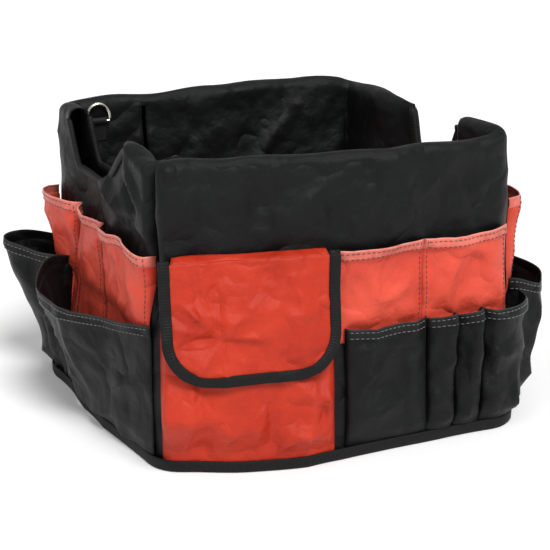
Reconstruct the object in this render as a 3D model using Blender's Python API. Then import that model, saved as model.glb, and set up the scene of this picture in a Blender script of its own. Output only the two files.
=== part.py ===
"""Garden tool bag: a soft ring of pockets that drapes over the rim of a 20 litre bucket.

Everything is in metres, +Z up, with the hem standing on z = 0. The ring's plan is a rounded
polygon, walked counter-clockwise seen from above: left side, front-left facet, front, right side, back.
Walls, rim folds, skirts, hems and pockets are all placed by their arc length along that plan and
by their distance outwards from the outer wall's outside face.
"""

import math

import bmesh
import bpy
from mathutils import Matrix, Vector

# ---- driving dimensions -------------------------------------------------------------------
FRAME_SHIFT = Vector((0.0006, -0.0086, 0.0))  # puts the origin under the middle of the whole bag
RIM_HEIGHT = 0.236  # top of the rim fold
CLOTH = 0.0015  # wall and skirt thickness, two layers of cloth
POCKET_CLOTH = 0.0012
CHANNEL = 0.0145  # clear gap between outer wall and inner skirt, where the bucket's wall goes
TOUCH = 0.0003  # gap between pieces that are sewn face to face
UPPER_ROW = (0.060, 0.165)  # bottom and mouth of the red pockets
LOWER_ROW = (0.0108, 0.103)  # bottom and mouth of the black pockets
HEM_HEIGHT = 0.009
SKIRT_LOW = 0.092  # lower edge of the inner skirts

FOLD_WIDTH = CHANNEL + 2 * CLOTH
FOLD_SPRING = RIM_HEIGHT - FOLD_WIDTH / 2  # where the walls end and the rim's arch begins
SKIRT_FACE = -CLOTH - CHANNEL  # outside face of the inner skirt, as a distance outwards

# Corners of the plan with their radii: front-left, front bend, front-right, back-right, back-left.
PLAN = (
    (-0.132, -0.095, 0.019),
    (-0.002, -0.118, 0.060),
    (0.148, -0.119, 0.019),
    (0.137, 0.140, 0.020),
    (-0.145, 0.141, 0.020),
)
ARC_STEP = math.radians(15)

# Handle slots: top and bottom y of the front edge, bottom and top y of the back edge.
LEFT_SLOT = (-0.032, 0.030, 0.078, 0.088)
RIGHT_SLOT = (-0.045, -0.022, 0.024, 0.034)
SLOT_FLOOR = 0.190

# The flap's hinge line, on the front-left facet.
FLAP_HINGE_Z = 0.1645
FLAP_STANDOFF = 0.0090
FLAP_TILT = math.radians(9)
FLAP_HALF_WIDTH = 0.064
FLAP_LENGTH = 0.0945
FLAP_CORNER = 0.036
FLAP_CLOTH = 0.0010
BINDING_WIDTH = 0.008
PATCH = (0.034, 0.0009, 0.022)  # hook and loop patches
PATCH_DROP = 0.0715  # from the hinge down to their middle

RING_WIRE = 0.0013  # radius of the D-ring's wire
RING_AXIS = Vector((-0.110, 0.0, 0.2205))  # y follows from the skirt's face
RING_LEAN = math.radians(5.2)


# ---- the plan ------------------------------------------------------------------------------
def plan_points():
    """Points of the outer wall's outside face, with corners as arcs."""
    points = []
    count = len(PLAN)
    for i, (x, y, radius) in enumerate(PLAN):
        corner = Vector((x, y))
        before = (Vector(PLAN[i - 1][:2]) - corner).normalized()
        after = (Vector(PLAN[(i + 1) % count][:2]) - corner).normalized()
        half = before.angle(after) / 2
        centre = corner + (before + after).normalized() * radius / math.sin(half)
        start = corner + before * radius / math.tan(half) - centre
        turn = math.pi - 2 * half
        steps = max(2, math.ceil(turn / ARC_STEP))
        for k in range(steps + 1):
            points.append(centre + Matrix.Rotation(turn * k / steps, 2) @ start)
    return points


OUTLINE = plan_points()
LENGTHS = [0.0]
for here, there in zip(OUTLINE, OUTLINE[1:] + OUTLINE[:1]):
    LENGTHS.append(LENGTHS[-1] + (there - here).length)
GIRTH = LENGTHS[-1]


def side(i):
    """Direction of the outline's side i."""
    count = len(OUTLINE)
    return (OUTLINE[(i + 1) % count] - OUTLINE[i % count]).normalized()


def outward(direction):
    return Vector((direction.y, -direction.x))


def corner_normal(i):
    """Offset direction at outline point i, long enough to keep both sides' distances."""
    a, b = outward(side(i - 1)), outward(side(i))
    middle = (a + b).normalized()
    return middle / middle.dot(a)


def at(s, out=0.0):
    """The plan point at arc length s, moved outwards by out."""
    s = s % GIRTH
    i = max(k for k in range(len(OUTLINE)) if LENGTHS[k] <= s + 1e-12)
    share = (s - LENGTHS[i]) / (LENGTHS[i + 1] - LENGTHS[i])
    following = (i + 1) % len(OUTLINE)
    point = OUTLINE[i].lerp(OUTLINE[following], share)
    return point + corner_normal(i).lerp(corner_normal(following), share) * out


def find(axis, value, near):
    """Arc length of the outline's point with that x (axis 0) or y (axis 1), on the side closest to near."""
    best = None
    for i, point in enumerate(OUTLINE):
        following = OUTLINE[(i + 1) % len(OUTLINE)]
        low, high = sorted((point[axis], following[axis]))
        if high - low < 1e-9 or not low <= value <= high:
            continue
        share = (value - point[axis]) / (following[axis] - point[axis])
        miss = abs(point.lerp(following, share)[1 - axis] - near)
        if best is None or miss < best[0]:
            best = (miss, LENGTHS[i] + share * (following - point).length)
    return best[1]


def on_left(y):
    return find(1, y, -0.140)


def on_right(y):
    return find(1, y, 0.137)


def on_front(x):
    return find(0, x, -0.118)


def on_back(x):
    return find(0, x, 0.140)


def stations(start, end, breaks=()):
    """Arc lengths from start to end that hold every outline point and every break between them."""
    if end < start:
        end += GIRTH
    found = {round(start, 7), round(end, 7)}
    for turn in (-GIRTH, 0.0, GIRTH):
        for s in LENGTHS[:-1] + list(breaks):
            if start + 1e-4 < s + turn < end - 1e-4:
                found.add(round(s + turn, 7))
    return sorted(found)


# ---- building --------------------------------------------------------------------------------
def clear_scene():
    for old in list(bpy.data.objects):
        bpy.data.objects.remove(old)


def material(name, colour, roughness, metallic=0.0):
    made = bpy.data.materials.new(name)
    made.use_nodes = True
    shader = made.node_tree.nodes["Principled BSDF"]
    shader.inputs["Base Color"].default_value = (*colour, 1.0)
    shader.inputs["Roughness"].default_value = roughness
    shader.inputs["Metallic"].default_value = metallic
    return made


def add(name, mesh_builder, look):
    """An object of that name from a bmesh, which it frees."""
    bmesh.ops.recalc_face_normals(mesh_builder, faces=mesh_builder.faces)
    mesh = bpy.data.meshes.new(name)
    mesh_builder.to_mesh(mesh)
    mesh_builder.free()
    mesh.materials.append(look)
    made = bpy.data.objects.new(name, mesh)
    bpy.context.scene.collection.objects.link(made)
    made.location = FRAME_SHIFT
    return made


def sweep(name, start, end, section, look, breaks=()):
    """A closed strip along the plan. section(s) gives (out, z) points, the same number at each s."""
    built = bmesh.new()
    rings = []
    for s in stations(start, end, breaks):
        loop = []
        for out, z in section(s):
            point = at(s, out)
            loop.append(built.verts.new((point.x, point.y, z)))
        rings.append(loop)
    for one, two in zip(rings, rings[1:]):
        for k in range(len(one)):
            following = (k + 1) % len(one)
            built.faces.new((one[k], one[following], two[following], two[k]))
    built.faces.new(rings[0])
    built.faces.new(rings[-1])
    return add(name, built, look)


def panel(inner, outer, low, high):
    """The section of a flat wall, whose height may change along the plan."""

    def section(s):
        top = high(s) if callable(high) else high
        return ((inner, low), (outer, low), (outer, top), (inner, top))

    return section


def slot_profile(slot, locate):
    """Height of a wall's top edge past a handle slot, and the arc lengths where it turns."""
    front_top, front_low, back_low, back_top = (locate(y) for y in slot)
    drop = FOLD_SPRING - SLOT_FLOOR

    def height(s):
        candidates = [s, s - GIRTH, s + GIRTH]
        edges = sorted((front_top, back_top))
        s = next((c for c in candidates if edges[0] <= c <= edges[1]), None)
        if s is None:
            return FOLD_SPRING
        ahead = (s - front_top) / (front_low - front_top)
        behind = (back_top - s) / (back_top - back_low)
        return FOLD_SPRING - drop * min(1.0, ahead, behind)

    return height, (front_top, front_low, back_low, back_top)


def sheet_pocket(name, levels, look, cloth=POCKET_CLOTH):
    """A pocket open at its top and sewn on along its sides and bottom.

    levels are (z, points), bottom first, and points are (arc length, distance out) along the
    inside of its cloth, from one sewn side to the other.
    """
    built = bmesh.new()
    rows = []
    for z, points in levels:
        row = []
        for s, out in points:
            point = at(s, out)
            row.append(built.verts.new((point.x, point.y, z)))
        rows.append(row)
    for low, high in zip(rows, rows[1:]):
        for k in range(len(low) - 1):
            built.faces.new((low[k], low[k + 1], high[k + 1], high[k]))
    (foot_z, foot), wall_side = levels[0], []
    for s in reversed(stations(foot[0][0], foot[-1][0])[1:-1]):
        point = at(s, foot[0][1])
        wall_side.append(built.verts.new((point.x, point.y, foot_z)))
    built.faces.new(rows[0] + wall_side)
    pocket = add(name, built, look)
    thicken = pocket.modifiers.new("cloth", "SOLIDIFY")
    thicken.thickness = cloth
    thicken.offset = 1.0
    thicken.use_even_offset = True
    return pocket


def box_plan(start, end, base, depth, inset):
    """A pocket's plan: out from the wall, along it round any corner, and back."""
    if end < start:
        end += GIRTH
    bends = [(s, depth) for s in stations(start + 0.005, end - 0.005)[1:-1]]
    return ((start, base), (start + inset, depth), *bends, (end - inset, depth), (end, base))


# ---- walls, folds, skirts and hems -----------------------------------------------------------
def build_shell(black, tape):
    left_height, left_breaks = slot_profile(LEFT_SLOT, on_left)
    right_height, right_breaks = slot_profile(RIGHT_SLOT, on_right)
    seams = {
        "front_left": on_left(-0.070),
        "front_right": on_right(-0.100),
        "back_right": on_right(0.114),
        "back_left": on_left(0.116),
    }
    seam = 0.00015  # half the gap at a seam
    runs = (
        ("front", "front_left", "front_right", FOLD_SPRING, ()),
        ("right", "front_right", "back_right", right_height, right_breaks),
        ("back", "back_right", "back_left", FOLD_SPRING, ()),
        ("left", "back_left", "front_left", left_height, left_breaks),
    )
    wall_low = 0.0010
    for name, first, last, height, breaks in runs:
        start, end = seams[first] + seam, seams[last] - seam
        sweep(f"outer_wall_{name}", start, end, panel(-CLOTH, 0.0, wall_low, height), black, breaks)
        tape_section = (
            (-0.0026, 0.0),
            (0.0011, 0.0),
            (0.0011, HEM_HEIGHT),
            (TOUCH, HEM_HEIGHT),
            (TOUCH, 0.0007),
            (-CLOTH - TOUCH, 0.0007),
            (-CLOTH - TOUCH, HEM_HEIGHT),
            (-0.0026, HEM_HEIGHT),
        )
        sweep(f"hem_binding_{name}", start, end, lambda s: tape_section, tape)

    skirt = (SKIRT_FACE - CLOTH, SKIRT_FACE, SKIRT_LOW)
    split = 0.0015  # half the gap between the two inner skirts, under each slot
    left_split, right_split = on_left(0.054), on_right(0.001)
    sweep(
        "inner_skirt_front",
        left_split + split,
        right_split - split,
        panel(*skirt, lambda s: min(left_height(s), right_height(s))),
        black,
        left_breaks + right_breaks,
    )
    sweep(
        "inner_skirt_back",
        right_split + split,
        left_split - split,
        panel(*skirt, lambda s: min(left_height(s), right_height(s))),
        black,
        left_breaks + right_breaks,
    )

    arch = []
    segments = 9
    middle = -FOLD_WIDTH / 2
    for radius, turn in ((FOLD_WIDTH / 2, range(segments + 1)), (CHANNEL / 2, range(segments, -1, -1))):
        for k in turn:
            angle = math.pi * k / segments
            out = middle + radius * math.cos(angle)
            arch.append((out, FOLD_SPRING + TOUCH + radius * math.sin(angle)))
    sweep("rim_fold_front", left_breaks[0], right_breaks[0], lambda s: arch, black)
    sweep("rim_fold_back", right_breaks[3], left_breaks[3], lambda s: arch, black)

    slot_tapes(left_height, left_breaks, "left", tape)
    slot_tapes(right_height, right_breaks, "right", tape)


def slot_tapes(height, breaks, name, tape):
    """The binding along a slot's lower edge, on the wall's outside face."""
    start, end = sorted((breaks[0], breaks[3]))
    width = 0.007
    below = 0.0005

    def section(s):
        top = height(s) - below
        return ((TOUCH, top - width), (0.0011, top - width), (0.0011, top), (TOUCH, top))

    sweep(f"slot_binding_{name}", start, end, section, tape, breaks)


# ---- pockets ---------------------------------------------------------------------------------
def upper_pocket(name, start, end, look, depth=0.0085):
    """A red pocket: a wedge, thin at its bottom and open by its depth at the mouth."""
    low, high = UPPER_ROW
    levels = (
        (low, box_plan(start, end, TOUCH, 0.0012, 0.0002)),
        (high, box_plan(start, end, TOUCH, depth, 0.004)),
    )
    return sheet_pocket(name, levels, look)


LOWER_BASE_TOP = 0.0072  # the black pockets' sides are sewn over the red ones here


def lower_pocket(name, start, end, look, depth=0.014):
    low, high = LOWER_ROW
    levels = (
        (low, box_plan(start, end, TOUCH, depth * 0.45, 0.002)),
        (low + 0.040, box_plan(start, end, 0.0027, depth, 0.002)),
        (high, box_plan(start, end, LOWER_BASE_TOP, depth, 0.002)),
    )
    return sheet_pocket(name, levels, look)


def bellows_pocket(name, mouth, foot, look, rise=0.0):
    """A large pocket that gapes: its mouth stands far out from the wall and its foot close to it."""
    low, high = LOWER_ROW
    middle = [
        (0.45 * s_foot + 0.55 * s_mouth, 0.45 * out_foot + 0.55 * out_mouth)
        for (s_foot, out_foot), (s_mouth, out_mouth) in zip(foot, mouth)
    ]
    levels = ((low, foot), (low + 0.045, middle), (high + rise, mouth))
    return sheet_pocket(name, levels, look)


def build_pockets(red, black):
    between = 0.0012 + TOUCH  # room for two pockets' sides beside each other

    # Front: two red pockets over four black ones, right of the flap pouch.
    reds = (0.000, 0.069, 0.136)
    for i, (left, right) in enumerate(zip(reds, reds[1:]), 1):
        upper_pocket(f"front_upper_pocket_{i}", on_front(left) + between, on_front(right) - between, red)
    blacks = (0.002, 0.071, 0.095, 0.118, 0.138)
    for i, (left, right) in enumerate(zip(blacks, blacks[1:]), 1):
        lower_pocket(f"front_lower_pocket_{i}", on_front(left) + between, on_front(right) - between, black)

    # Left: three red pockets, and two black bellows pockets that gape.
    reds = (-0.066, 0.012, 0.070, 0.112)
    depths = (0.0110, 0.0100, 0.0140)
    for i, (front, back, depth) in enumerate(zip(reds, reds[1:], depths), 1):
        upper_pocket(f"left_upper_pocket_{i}", on_left(back) + between, on_left(front) - between, red, depth)
    mouth = (
        (on_left(0.072), 0.0092),
        (on_left(0.066), 0.034),
        (on_left(0.024), 0.052),
        (on_left(-0.066), 0.0092),
    )
    foot = ((on_left(0.072), TOUCH), (on_left(0.066), 0.010), (on_left(0.024), 0.014), (on_left(-0.066), TOUCH))
    bellows_pocket("left_bellows_pocket_1", mouth, foot, black, 0.005)
    mouth = (
        (on_left(0.116), 0.0118),
        (on_left(0.114), 0.042),
        (on_left(0.104), 0.048),
        (on_left(0.075), 0.0118),
    )
    foot = ((on_left(0.116), TOUCH), (on_left(0.113), 0.008), (on_left(0.104), 0.011), (on_left(0.075), TOUCH))
    bellows_pocket("left_bellows_pocket_2", mouth, foot, black, 0.016)

    # Right: the same rows.
    reds = (-0.084, -0.012, 0.052, 0.112)
    for i, (front, back) in enumerate(zip(reds, reds[1:]), 1):
        upper_pocket(f"right_upper_pocket_{i}", on_right(front) + between, on_right(back) - between, red, 0.0115)
    mouth = (
        (on_right(-0.086), 0.0092),
        (on_right(-0.080), 0.040),
        (on_right(-0.050), 0.045),
        (on_right(0.004), 0.0092),
    )
    foot = ((on_right(-0.086), TOUCH), (on_right(-0.082), 0.022), (on_right(-0.050), 0.022), (on_right(0.004), TOUCH))
    bellows_pocket("right_bellows_pocket_1", mouth, foot, black, 0.006)
    mouth = (
        (on_right(0.008), 0.0092),
        (on_right(0.060), 0.044),
        (on_right(0.092), 0.034),
        (on_right(0.112), 0.0092),
    )
    foot = ((on_right(0.008), TOUCH), (on_right(0.060), 0.014), (on_right(0.092), 0.012), (on_right(0.112), TOUCH))
    bellows_pocket("right_bellows_pocket_2", mouth, foot, black, 0.004)

    # Back: two red pockets over three black ones.
    reds = (0.108, 0.0, -0.112)
    for i, (right, left) in enumerate(zip(reds, reds[1:]), 1):
        upper_pocket(f"back_upper_pocket_{i}", on_back(right) + between, on_back(left) - between, red)
    blacks = (0.108, 0.036, -0.038, -0.112)
    for i, (right, left) in enumerate(zip(blacks, blacks[1:]), 1):
        lower_pocket(f"back_lower_pocket_{i}", on_back(right) + between, on_back(left) - between, black)


def build_inner_pocket(red):
    """The pocket on the back skirt's inside: its cloth stands inwards, so distances are negative."""
    face = SKIRT_FACE - CLOTH - TOUCH
    start, end = on_back(0.100), on_back(-0.084)
    levels = (
        (0.098, box_plan(start, end, face, face - 0.0040, 0.004)),
        (0.166, box_plan(start, end, face, face - 0.0085, 0.006)),
    )
    return sheet_pocket("inner_pocket_back", levels, red)


# ---- the flap pouch --------------------------------------------------------------------------
def facet_frame():
    """Middle of the front-left facet, its direction and its outward normal."""
    a, b = Vector(PLAN[0][:2]), Vector(PLAN[1][:2])
    along = (b - a).normalized()
    return (a + b) / 2, along, outward(along)


FACET_MIDDLE, FACET_ALONG, FACET_OUT = facet_frame()


def flap_placement():
    """The flap's own frame: its hinge is the x axis and it hangs along -z, with the wall on +y."""
    hinge = FACET_MIDDLE + FACET_OUT * FLAP_STANDOFF
    return facet_matrix(Vector((hinge.x, hinge.y, FLAP_HINGE_Z)), FLAP_TILT)


def pouch_depth(z):
    """How far out the inside of the pouch's cloth may stand under the closed flap."""
    under_flap = FLAP_STANDOFF + (FLAP_HINGE_Z - z) * math.tan(FLAP_TILT)
    room = FLAP_CLOTH / 2 + 2 * PATCH[1] + 3 * TOUCH + POCKET_CLOTH
    return under_flap - room / math.cos(FLAP_TILT)


def build_pouch(red, hook):
    middle = on_front(FACET_MIDDLE.x)
    start, end = middle - 0.062, middle + 0.062
    bend = middle - 0.044

    def around(depth):
        return ((start, TOUCH), (start + 0.003, depth), (bend, depth), (end - 0.003, depth), (end, TOUCH))

    levels = (
        (LOWER_ROW[0], around(0.010)),
        (0.034, around(0.017)),
        (0.075, around(pouch_depth(0.075))),
        (0.149, around(pouch_depth(0.149))),
    )
    sheet_pocket("flap_pouch", levels, red)
    patch("pouch_hook_patch", FLAP_CLOTH / 2 + 2 * TOUCH + 1.5 * PATCH[1], hook)


def patch(name, inwards, look):
    """A fastener patch parallel to the closed flap, that far behind the flap's middle."""
    built = bmesh.new()
    bmesh.ops.create_cube(built, size=1.0)
    bmesh.ops.scale(built, vec=PATCH, verts=built.verts)
    bmesh.ops.translate(built, vec=(0.0, inwards, -PATCH_DROP), verts=built.verts)
    made = add(name, built, look)
    made.matrix_world = flap_placement()
    return made


def facet_matrix(place, tilt):
    """x along the facet, y into the bag and z up, tilted so that the lower end stands out."""
    x = Vector((FACET_ALONG.x, FACET_ALONG.y, 0.0))
    y = Vector((-FACET_OUT.x, -FACET_OUT.y, 0.0))
    turn = Matrix((x, y, Vector((0.0, 0.0, 1.0)))).transposed()
    lean = Matrix.Rotation(-tilt, 3, "X")
    return Matrix.Translation(place + FRAME_SHIFT) @ (turn @ lean).to_4x4()


def flap_outline(grow, top):
    """The flap's outline in its own plane, from the top left corner round to the top right."""
    half, length, radius = FLAP_HALF_WIDTH + grow, FLAP_LENGTH + grow, FLAP_CORNER + grow
    points = [(-half, top)]
    for k in range(9):
        angle = math.pi + math.radians(90) * k / 8
        points.append((-half + radius + radius * math.cos(angle), -length + radius + radius * math.sin(angle)))
    for x, z in reversed(points[1:]):
        points.append((-x, z))
    points.append((half, top))
    return points


def extrude(points, half_thickness):
    """A flat outline in x and z, made solid across y."""
    built = bmesh.new()
    front = [built.verts.new((x, -half_thickness, z)) for x, z in points]
    back = [built.verts.new((x, half_thickness, z)) for x, z in points]
    for k in range(len(points)):
        following = (k + 1) % len(points)
        built.faces.new((front[k], front[following], back[following], back[k]))
    built.faces.new(front)
    built.faces.new(back)
    return built


def helper(made):
    made.hide_render = True
    made.display_type = "WIRE"
    return made


def build_flap(red, tape, loop):
    placed = flap_placement()
    top = -0.0006

    lid = add("flap_lid", extrude(flap_outline(-0.0008, top), FLAP_CLOTH / 2), red)
    lid.matrix_world = placed

    band = flap_outline(0.0, top) + list(reversed(flap_outline(-BINDING_WIDTH, top)))
    binding = add("flap_binding", extrude(band, 0.0013), tape)
    binding.matrix_world = placed
    room = helper(add("flap_binding_room", extrude(flap_outline(-0.0005, 0.01), FLAP_CLOTH / 2 + TOUCH), tape))
    room.matrix_world = placed
    groove = binding.modifiers.new("groove", "BOOLEAN")
    groove.operation = "DIFFERENCE"
    groove.object = room

    patch("flap_loop_patch", FLAP_CLOTH / 2 + TOUCH + PATCH[1] / 2, loop)

    middle = on_front(FACET_MIDDLE.x)
    half = FLAP_HALF_WIDTH - 0.010
    strip = panel(TOUCH, FLAP_STANDOFF - 0.0011, FLAP_HINGE_Z - 0.003, FLAP_HINGE_Z + 0.004)
    sweep("flap_hinge_seam", middle - half, middle + half, strip, red)


# ---- the D-ring and its tab ------------------------------------------------------------------
def build_ring(metal, webbing):
    face = 0.140 + SKIRT_FACE - CLOTH  # y of the back skirt's inside face
    loop_radius = RING_WIRE + 0.0014
    axis = Vector((RING_AXIS.x, face - TOUCH - loop_radius, RING_AXIS.z))

    curve = bpy.data.curves.new("d_ring", "CURVE")
    curve.dimensions = "3D"
    curve.bevel_depth = RING_WIRE
    curve.bevel_resolution = 2
    line = curve.splines.new("POLY")
    half, rise, centre = 0.0094, 0.0108, 0.0034
    arch = [math.radians(-18 + 216 * k / 18) for k in range(19)]
    points = [(half * math.cos(a), 0.0, centre + rise * math.sin(a)) for a in arch]
    floor = points[0][2]
    points += [(-0.0045, 0.0, floor), (0.0, 0.0, floor), (0.0045, 0.0, floor)]
    line.points.add(len(points) - 1)
    for point, place in zip(line.points, points):
        point.co = (place[0], place[1], place[2] - floor, 1.0)
    line.use_cyclic_u = True
    curve.materials.append(metal)
    ring = bpy.data.objects.new("d_ring", curve)
    bpy.context.scene.collection.objects.link(ring)
    ring.matrix_world = Matrix.Translation(axis + FRAME_SHIFT) @ Matrix.Rotation(-RING_LEAN, 4, "X")

    half_tab = 0.0062
    tail = 0.017
    thick = 0.0022
    built = bmesh.new()
    bmesh.ops.create_cube(built, size=1.0)
    bmesh.ops.scale(built, vec=(2 * half_tab, thick, tail), verts=built.verts)
    bmesh.ops.translate(built, vec=(0.0, loop_radius - thick / 2, -tail / 2), verts=built.verts)
    tab = add("d_ring_tab", built, webbing)
    tab.location = axis + FRAME_SHIFT
    for name, radius, length, operation in (
        ("tab_loop", loop_radius, 2 * half_tab, "UNION"),
        ("tab_bore", RING_WIRE + 0.0004, 4 * half_tab, "DIFFERENCE"),
    ):
        built = bmesh.new()
        bmesh.ops.create_cone(built, cap_ends=True, segments=24, radius1=radius, radius2=radius, depth=length)
        bmesh.ops.rotate(built, cent=(0, 0, 0), matrix=Matrix.Rotation(math.pi / 2, 3, "Y"), verts=built.verts)
        cutter = helper(add(name, built, webbing))
        cutter.location = axis + FRAME_SHIFT
        change = tab.modifiers.new(name, "BOOLEAN")
        change.operation = operation
        change.object = cutter


def main():
    clear_scene()
    black = material("black_polyester", (0.022, 0.023, 0.024), 0.62)
    red = material("red_polyester", (0.72, 0.075, 0.035), 0.50)
    tape = material("black_binding", (0.014, 0.015, 0.014), 0.75)
    webbing = material("black_webbing", (0.012, 0.012, 0.013), 0.80)
    fastener = material("hook_and_loop", (0.016, 0.016, 0.016), 0.92)
    nickel = material("nickel_plate", (0.78, 0.75, 0.66), 0.22, 1.0)

    build_shell(black, tape)
    build_pockets(red, black)
    build_inner_pocket(red)
    build_pouch(red, fastener)
    build_flap(red, tape, fastener)
    build_ring(nickel, webbing)


main()
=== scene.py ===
import math

import bpy
import numpy as np
from mathutils import Matrix, Vector, noise


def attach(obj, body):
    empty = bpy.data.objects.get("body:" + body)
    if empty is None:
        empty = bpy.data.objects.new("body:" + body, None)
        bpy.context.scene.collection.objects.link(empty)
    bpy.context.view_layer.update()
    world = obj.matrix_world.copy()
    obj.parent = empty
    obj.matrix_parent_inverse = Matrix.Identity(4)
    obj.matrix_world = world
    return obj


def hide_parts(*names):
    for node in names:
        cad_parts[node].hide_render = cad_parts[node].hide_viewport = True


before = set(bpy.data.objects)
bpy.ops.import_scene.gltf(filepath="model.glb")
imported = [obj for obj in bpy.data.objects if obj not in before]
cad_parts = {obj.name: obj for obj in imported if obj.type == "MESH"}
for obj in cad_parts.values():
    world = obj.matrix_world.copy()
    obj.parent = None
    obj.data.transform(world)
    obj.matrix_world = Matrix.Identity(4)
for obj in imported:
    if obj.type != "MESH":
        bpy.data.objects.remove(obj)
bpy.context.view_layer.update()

# ---------------------------------------------------------------- the ring's plan
SHIFT = np.array([0.0006, -0.0086])
PLAN = (
    (-0.132, -0.095, 0.019),
    (-0.002, -0.118, 0.060),
    (0.153, -0.119, 0.019),
    (0.138, 0.140, 0.020),
    (-0.146, 0.141, 0.020),
)
TOP = 0.236
ARCH = 0.00875
SPRING = TOP - ARCH


def plan_curve():
    pts = []
    count = len(PLAN)
    for i, (x, y, radius) in enumerate(PLAN):
        corner = Vector((x, y))
        before = (Vector(PLAN[i - 1][:2]) - corner).normalized()
        after = (Vector(PLAN[(i + 1) % count][:2]) - corner).normalized()
        half = before.angle(after) / 2
        centre = corner + (before + after).normalized() * radius / math.sin(half)
        start = corner + before * radius / math.tan(half) - centre
        turn = math.pi - 2 * half
        steps = 24
        for k in range(steps + 1):
            pts.append(centre + Matrix.Rotation(turn * k / steps, 2) @ start)
    pts = np.array([tuple(p) for p in pts])
    closed = np.vstack([pts, pts[:1]])
    run = np.concatenate([[0], np.cumsum(np.linalg.norm(np.diff(closed, axis=0), axis=1))])
    n = 1040
    s = np.linspace(0, run[-1], n, endpoint=False)
    even = np.stack([np.interp(s, run, closed[:, k]) for k in (0, 1)], axis=1)
    kernel = np.exp(-0.5 * (np.arange(-15, 16) / 2.5) ** 2)
    kernel /= kernel.sum()
    soft = sum(w * np.roll(even, -k, axis=0) for k, w in zip(range(-15, 16), kernel))
    return soft


CURVE = plan_curve()
_closed = np.vstack([CURVE, CURVE[:1]])
RUN = np.concatenate([[0], np.cumsum(np.linalg.norm(np.diff(_closed, axis=0), axis=1))])
GIRTH = RUN[-1]
_tangent = np.roll(CURVE, -2, axis=0) - np.roll(CURVE, 2, axis=0)
_tangent /= np.linalg.norm(_tangent, axis=1)[:, None]
NORMALS = np.stack([_tangent[:, 1], -_tangent[:, 0]], axis=1)
_normals = np.vstack([NORMALS, NORMALS[:1]])


def ring_at(s):
    s = np.mod(np.asarray(s, float), GIRTH)
    p = np.stack([np.interp(s, RUN, _closed[:, k]) for k in (0, 1)], axis=-1)
    n = np.stack([np.interp(s, RUN, _normals[:, k]) for k in (0, 1)], axis=-1)
    return p, n / np.linalg.norm(n, axis=-1)[..., None]


def find(axis, value, near):
    miss = np.abs(CURVE[:, axis] - value) + 0.35 * np.abs(CURVE[:, 1 - axis] - near)
    return RUN[int(np.argmin(miss))]


def on_left(y):
    return find(1, y, -0.137)


def on_right(y):
    return find(1, y, 0.137)


def on_front(x):
    return find(0, x, -0.114)


def on_back(x):
    return find(0, x, 0.140)


S_CREASE = find(0, -0.127, -0.092)
S_FACET = find(0, -0.0665, -0.106)


def ahead(a, b):
    """b as an arc length that is not before a."""
    return b + GIRTH * math.ceil((a - b) / GIRTH) if b < a else b


def arc_from(s, place):
    """Arc length from place to s by the shorter way, negative when s comes before it."""
    return np.mod(s - place + GIRTH / 2, GIRTH) - GIRTH / 2


def around(s, centre, width):
    """A soft bump of height 1 about an arc length."""
    d = arc_from(np.asarray(s), centre)
    return np.exp(-((d / width) ** 2))


def smooth(x):
    x = np.clip(x, 0, 1)
    return x * x * (3 - 2 * x)


# ---------------------------------------------------------------- cloth shapes
def field(points, scale, seed):
    """Smooth noise from -1 to 1 at points, the same on every run."""
    flat = points.reshape(-1, 3)
    offset = np.array([seed, -seed, 0.5 * seed])
    out = [noise.noise(Vector(q)) for q in flat / scale + offset]
    return np.array(out).reshape(points.shape[:-1])


def ridges(points, scale, seed):
    """Creases that meet at sharp lines, from about -1 to 1."""
    return 1 - 4 * np.abs(field(points, scale, seed)) ** 0.8


def crease(a, b, a0, b0, a1, b1, width, depth, sharp=1.0):
    """A fold along the segment (a0, b0)-(a1, b1): a raised ridge, or a valley if depth is negative."""
    dx, dy = a1 - a0, b1 - b0
    t = np.clip(((a - a0) * dx + (b - b0) * dy) / (dx * dx + dy * dy), 0, 1)
    d = np.hypot(a - a0 - t * dx, b - b0 - t * dy)
    ends = np.sin(np.pi * np.clip(t, 0.04, 0.96)) ** 0.5
    return depth * ends * np.exp(-((d / width) ** sharp))


# How far the hem stands out from the plan, at places round the ring.
FLARE = (
    (on_left(0.130), 0.012),
    (on_left(0.060), 0.013),
    (on_left(0.000), 0.011),
    (on_left(-0.060), 0.006),
    (S_CREASE, 0.003),
    (on_front(-0.105), 0.009),
    (on_front(-0.078), 0.018),
    (on_front(-0.040), 0.019),
    (on_front(-0.005), 0.011),
    (on_front(0.060), 0.008),
    (on_front(0.118), 0.007),
    (on_right(-0.090), 0.008),
    (on_right(0.020), 0.006),
    (on_right(0.120), 0.006),
    (on_back(0.090), 0.005),
    (on_back(-0.060), 0.006),
    (on_back(-0.122), 0.008),
)
FLARE_STEPS = 520
FLARE_BLUR = 7.0


def flare_table():
    """Arc lengths and the hem's smoothed distance out at each."""
    known = sorted((s % GIRTH, d) for s, d in FLARE)
    known = [(s - GIRTH, d) for s, d in known[-2:]] + known + [(s + GIRTH, d) for s, d in known[:2]]
    at = np.linspace(0, GIRTH, FLARE_STEPS + 1)
    out = np.interp(at, [s for s, _ in known], [d for _, d in known])
    reach = np.arange(-16, 17)
    weight = np.exp(-0.5 * (reach / FLARE_BLUR) ** 2)
    weight /= weight.sum()
    out = sum(w * np.roll(out[:-1], k) for k, w in zip(reach, weight))
    return at, np.append(out, out[0])


FLARE_AT, FLARE_OUT = flare_table()


def flare(s, z):
    return np.interp(np.mod(s, GIRTH), FLARE_AT, FLARE_OUT) * (1 - smooth(z / 0.170)) ** 1.1


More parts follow.
